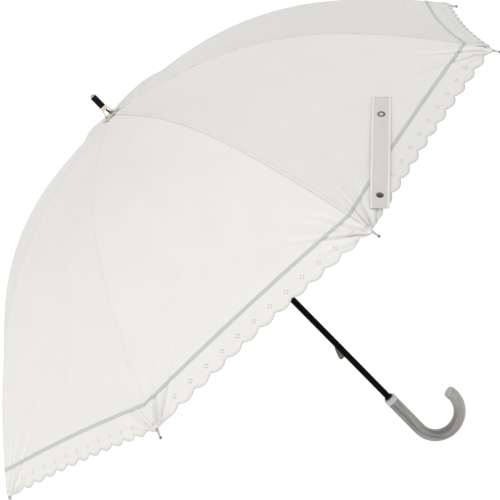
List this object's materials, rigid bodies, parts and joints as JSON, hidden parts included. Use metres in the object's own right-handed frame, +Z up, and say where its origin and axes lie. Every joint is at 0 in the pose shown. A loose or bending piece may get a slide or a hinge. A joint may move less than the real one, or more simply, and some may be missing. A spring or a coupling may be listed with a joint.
{
  "type": "parasol",
  "caption": "Open parasol with a domed cloth canopy on folding steel ribs, a sliding runner, press catches, a closing strap and a J-hook handle.",
  "frame": {"origin": "middle of the straight grip, on the shaft's axis", "axes": "+Z up the shaft towards the ferrule, +X the way the hook opens, catches on the -X side"},
  "size_m": [0.823, 0.823, 0.6317],
  "materials": {
    "shaft_paint": "satin black paint",
    "ferrule_black": "satin",
    "tip_metal": "satin",
    "crown_gold": "pale gold plate",
    "canopy_cloth": "plain weave",
    "notch_plastic": "matte",
    "wire_steel": "drawn",
    "runner_plastic": "satin",
    "catch_steel": "dark",
    "handle_resin": "pearly grey",
    "collar_metal": "satin",
    "seal_rubber": "matte",
    "cap_resin": "pearly grey",
    "strap_cloth": "satin weave",
    "snap_metal": "satin",
    "rib_steel": "satin dark paint"
  },
  "bodies": {
    "shaft": {"shaft": "shaft_paint", "ferrule": "ferrule_black", "ferrule_tip": "tip_metal", "crown_cap": "crown_gold", "rosette": "canopy_cloth", "peak_washer": "notch_plastic", "notch": "notch_plastic", "notch_wire": "wire_steel", "notch_pin": "wire_steel", "stop_pin": "wire_steel", "handle": "handle_resin", "handle_collar": "collar_metal", "handle_seal": "seal_rubber", "handle_end_cap": "cap_resin"},
    "runner": {"runner": "runner_plastic", "runner_wire": "wire_steel"},
    "top_catch": {"top_catch": "catch_steel"},
    "lower_catch": {"lower_catch": "catch_steel"},
    "rib_1": {"rib_1": "rib_steel", "rib_tip_1": "tip_metal", "rib_bracket_1": "rib_steel"},
    "stretcher_1": {"stretcher_1": "rib_steel"},
    "panel_1": {"canopy_panel_1": "canopy_cloth"},
    "rib_2": {"rib_2": "rib_steel", "rib_tip_2": "tip_metal", "rib_bracket_2": "rib_steel"},
    "stretcher_2": {"stretcher_2": "rib_steel"},
    "panel_2": {"canopy_panel_2": "canopy_cloth"},
    "rib_3": {"rib_3": "rib_steel", "rib_tip_3": "tip_metal", "rib_bracket_3": "rib_steel"},
    "stretcher_3": {"stretcher_3": "rib_steel"},
    "panel_3": {"canopy_panel_3": "canopy_cloth", "strap": "strap_cloth", "strap_snaps": "snap_metal"},
    "rib_4": {"rib_4": "rib_steel", "rib_tip_4": "tip_metal", "rib_bracket_4": "rib_steel"},
    "stretcher_4": {"stretcher_4": "rib_steel"},
    "panel_4": {"canopy_panel_4": "canopy_cloth"},
    "rib_5": {"rib_5": "rib_steel", "rib_tip_5": "tip_metal", "rib_bracket_5": "rib_steel"},
    "stretcher_5": {"stretcher_5": "rib_steel"},
    "panel_5": {"canopy_panel_5": "canopy_cloth"},
    "rib_6": {"rib_6": "rib_steel", "rib_tip_6": "tip_metal", "rib_bracket_6": "rib_steel"},
    "stretcher_6": {"stretcher_6": "rib_steel"},
    "panel_6": {"canopy_panel_6": "canopy_cloth"},
    "rib_7": {"rib_7": "rib_steel", "rib_tip_7": "tip_metal", "rib_bracket_7": "rib_steel"},
    "stretcher_7": {"stretcher_7": "rib_steel"},
    "panel_7": {"canopy_panel_7": "canopy_cloth"},
    "rib_8": {"rib_8": "rib_steel", "rib_tip_8": "tip_metal", "rib_bracket_8": "rib_steel"},
    "stretcher_8": {"stretcher_8": "rib_steel"},
    "panel_8": {"canopy_panel_8": "canopy_cloth"}
  },
  "joints": [
    {"name": "runner_slide", "type": "slide", "parent": "shaft", "child": "runner", "axis": [0, 0, -1], "range_m": [0, 0.25161]},
    {"name": "rib_1_fold", "type": "hinge", "parent": "shaft", "child": "rib_1", "pos_m": [-0.00894, -0.00249, 0.53132], "axis": [0.2689, -0.9632, 0], "range_deg": [0, 61.13]},
    {"name": "stretcher_1_turn", "type": "hinge", "parent": "rib_1", "child": "stretcher_1", "pos_m": [-0.18789, -0.05246, 0.48802], "axis": [0.2689, -0.9632, 0], "range_deg": [-111.41, 0]},
    {"name": "panel_1_fold", "type": "hinge", "parent": "rib_1", "child": "panel_1", "pos_m": [-0.00769, -0.00603, 0.53118], "axis": [0.6908, 0.5417, -0.4789], "range_deg": [0, 44.89], "deforming": ["canopy_panel_1"]},
    {"name": "rib_2_fold", "type": "hinge", "parent": "shaft", "child": "rib_2", "pos_m": [-0.00455, -0.00808, 0.53132], "axis": [0.8712, -0.4909, 0], "range_deg": [0, 61.13]},
    {"name": "stretcher_2_turn", "type": "hinge", "parent": "rib_2", "child": "stretcher_2", "pos_m": [-0.09576, -0.16995, 0.48802], "axis": [0.8712, -0.4909, 0], "range_deg": [-111.41, 0]},
    {"name": "panel_2_fold", "type": "hinge", "parent": "rib_2", "child": "panel_2", "pos_m": [-0.00117, -0.0097, 0.53118], "axis": [0.1055, 0.8715, -0.4789], "range_deg": [0, 44.89], "deforming": ["canopy_panel_2"]},
    {"name": "rib_3_fold", "type": "hinge", "parent": "shaft", "child": "rib_3", "pos_m": [0.00249, -0.00894, 0.53132], "axis": [0.9632, 0.2689, 0], "range_deg": [0, 61.13]},
    {"name": "stretcher_3_turn", "type": "hinge", "parent": "rib_3", "child": "stretcher_3", "pos_m": [0.05246, -0.18789, 0.48802], "axis": [0.9632, 0.2689, 0], "range_deg": [-111.41, 0]},
    {"name": "panel_3_fold", "type": "hinge", "parent": "rib_3", "child": "panel_3", "pos_m": [0.00603, -0.00769, 0.53118], "axis": [-0.5417, 0.6908, -0.4789], "range_deg": [0, 44.89], "deforming": ["canopy_panel_3", "strap", "strap_snaps"]},
    {"name": "rib_4_fold", "type": "hinge", "parent": "shaft", "child": "rib_4", "pos_m": [0.00808, -0.00455, 0.53132], "axis": [0.4909, 0.8712, 0], "range_deg": [0, 61.13]},
    {"name": "stretcher_4_turn", "type": "hinge", "parent": "rib_4", "child": "stretcher_4", "pos_m": [0.16995, -0.09576, 0.48802], "axis": [0.4909, 0.8712, 0], "range_deg": [-111.41, 0]},
    {"name": "panel_4_fold", "type": "hinge", "parent": "rib_4", "child": "panel_4", "pos_m": [0.0097, -0.00117, 0.53118], "axis": [-0.8715, 0.1055, -0.4789], "range_deg": [0, 44.89], "deforming": ["canopy_panel_4"]},
    {"name": "rib_5_fold", "type": "hinge", "parent": "shaft", "child": "rib_5", "pos_m": [0.00894, 0.00249, 0.53132], "axis": [-0.2689, 0.9632, 0], "range_deg": [0, 61.13]},
    {"name": "stretcher_5_turn", "type": "hinge", "parent": "rib_5", "child": "stretcher_5", "pos_m": [0.18789, 0.05246, 0.48802], "axis": [-0.2689, 0.9632, 0], "range_deg": [-111.41, 0]},
    {"name": "panel_5_fold", "type": "hinge", "parent": "rib_5", "child": "panel_5", "pos_m": [0.00769, 0.00603, 0.53118], "axis": [-0.6908, -0.5417, -0.4789], "range_deg": [0, 44.89], "deforming": ["canopy_panel_5"]},
    {"name": "rib_6_fold", "type": "hinge", "parent": "shaft", "child": "rib_6", "pos_m": [0.00455, 0.00808, 0.53132], "axis": [-0.8712, 0.4909, 0], "range_deg": [0, 61.13]},
    {"name": "stretcher_6_turn", "type": "hinge", "parent": "rib_6", "child": "stretcher_6", "pos_m": [0.09576, 0.16995, 0.48802], "axis": [-0.8712, 0.4909, 0], "range_deg": [-111.41, 0]},
    {"name": "panel_6_fold", "type": "hinge", "parent": "rib_6", "child": "panel_6", "pos_m": [0.00117, 0.0097, 0.53118], "axis": [-0.1055, -0.8715, -0.4789], "range_deg": [0, 44.89], "deforming": ["canopy_panel_6"]},
    {"name": "rib_7_fold", "type": "hinge", "parent": "shaft", "child": "rib_7", "pos_m": [-0.00249, 0.00894, 0.53132], "axis": [-0.9632, -0.2689, 0], "range_deg": [0, 61.13]},
    {"name": "stretcher_7_turn", "type": "hinge", "parent": "rib_7", "child": "stretcher_7", "pos_m": [-0.05246, 0.18789, 0.48802], "axis": [-0.9632, -0.2689, 0], "range_deg": [-111.41, 0]},
    {"name": "panel_7_fold", "type": "hinge", "parent": "rib_7", "child": "panel_7", "pos_m": [-0.00603, 0.00769, 0.53118], "axis": [0.5417, -0.6908, -0.4789], "range_deg": [0, 44.89], "deforming": ["canopy_panel_7"]},
    {"name": "rib_8_fold", "type": "hinge", "parent": "shaft", "child": "rib_8", "pos_m": [-0.00808, 0.00455, 0.53132], "axis": [-0.4909, -0.8712, 0], "range_deg": [0, 61.13]},
    {"name": "stretcher_8_turn", "type": "hinge", "parent": "rib_8", "child": "stretcher_8", "pos_m": [-0.16995, 0.09576, 0.48802], "axis": [-0.4909, -0.8712, 0], "range_deg": [-111.41, 0]},
    {"name": "panel_8_fold", "type": "hinge", "parent": "rib_8", "child": "panel_8", "pos_m": [-0.0097, 0.00117, 0.53118], "axis": [0.8715, -0.1055, -0.4789], "range_deg": [0, 44.89], "deforming": ["canopy_panel_8"]},
    {"name": "top_catch_press", "type": "slide", "parent": "shaft", "child": "top_catch", "axis": [1, 0, 0], "range_m": [0, 0.001], "stiffness_N_per_m": 400, "springref_m": -0.003},
    {"name": "lower_catch_press", "type": "slide", "parent": "shaft", "child": "lower_catch", "axis": [1, 0, 0], "range_m": [0, 0.0054], "stiffness_N_per_m": 400, "springref_m": -0.003}
  ],
  "couplings": [
    {"joint": "rib_1_fold", "follows": "runner_slide", "rad_per_m": 4.2397},
    {"joint": "stretcher_1_turn", "follows": "runner_slide", "rad_per_m": -7.7276},
    {"joint": "panel_1_fold", "follows": "runner_slide", "rad_per_m": 3.1131},
    {"joint": "rib_2_fold", "follows": "runner_slide", "rad_per_m": 4.2397},
    {"joint": "stretcher_2_turn", "follows": "runner_slide", "rad_per_m": -7.7276},
    {"joint": "panel_2_fold", "follows": "runner_slide", "rad_per_m": 3.1131},
    {"joint": "rib_3_fold", "follows": "runner_slide", "rad_per_m": 4.2397},
    {"joint": "stretcher_3_turn", "follows": "runner_slide", "rad_per_m": -7.7276},
    {"joint": "panel_3_fold", "follows": "runner_slide", "rad_per_m": 3.1131},
    {"joint": "rib_4_fold", "follows": "runner_slide", "rad_per_m": 4.2397},
    {"joint": "stretcher_4_turn", "follows": "runner_slide", "rad_per_m": -7.7276},
    {"joint": "panel_4_fold", "follows": "runner_slide", "rad_per_m": 3.1131},
    {"joint": "rib_5_fold", "follows": "runner_slide", "rad_per_m": 4.2397},
    {"joint": "stretcher_5_turn", "follows": "runner_slide", "rad_per_m": -7.7276},
    {"joint": "panel_5_fold", "follows": "runner_slide", "rad_per_m": 3.1131},
    {"joint": "rib_6_fold", "follows": "runner_slide", "rad_per_m": 4.2397},
    {"joint": "stretcher_6_turn", "follows": "runner_slide", "rad_per_m": -7.7276},
    {"joint": "panel_6_fold", "follows": "runner_slide", "rad_per_m": 3.1131},
    {"joint": "rib_7_fold", "follows": "runner_slide", "rad_per_m": 4.2397},
    {"joint": "stretcher_7_turn", "follows": "runner_slide", "rad_per_m": -7.7276},
    {"joint": "panel_7_fold", "follows": "runner_slide", "rad_per_m": 3.1131},
    {"joint": "rib_8_fold", "follows": "runner_slide", "rad_per_m": 4.2397},
    {"joint": "stretcher_8_turn", "follows": "runner_slide", "rad_per_m": -7.7276},
    {"joint": "panel_8_fold", "follows": "runner_slide", "rad_per_m": 3.1131}
  ]
}
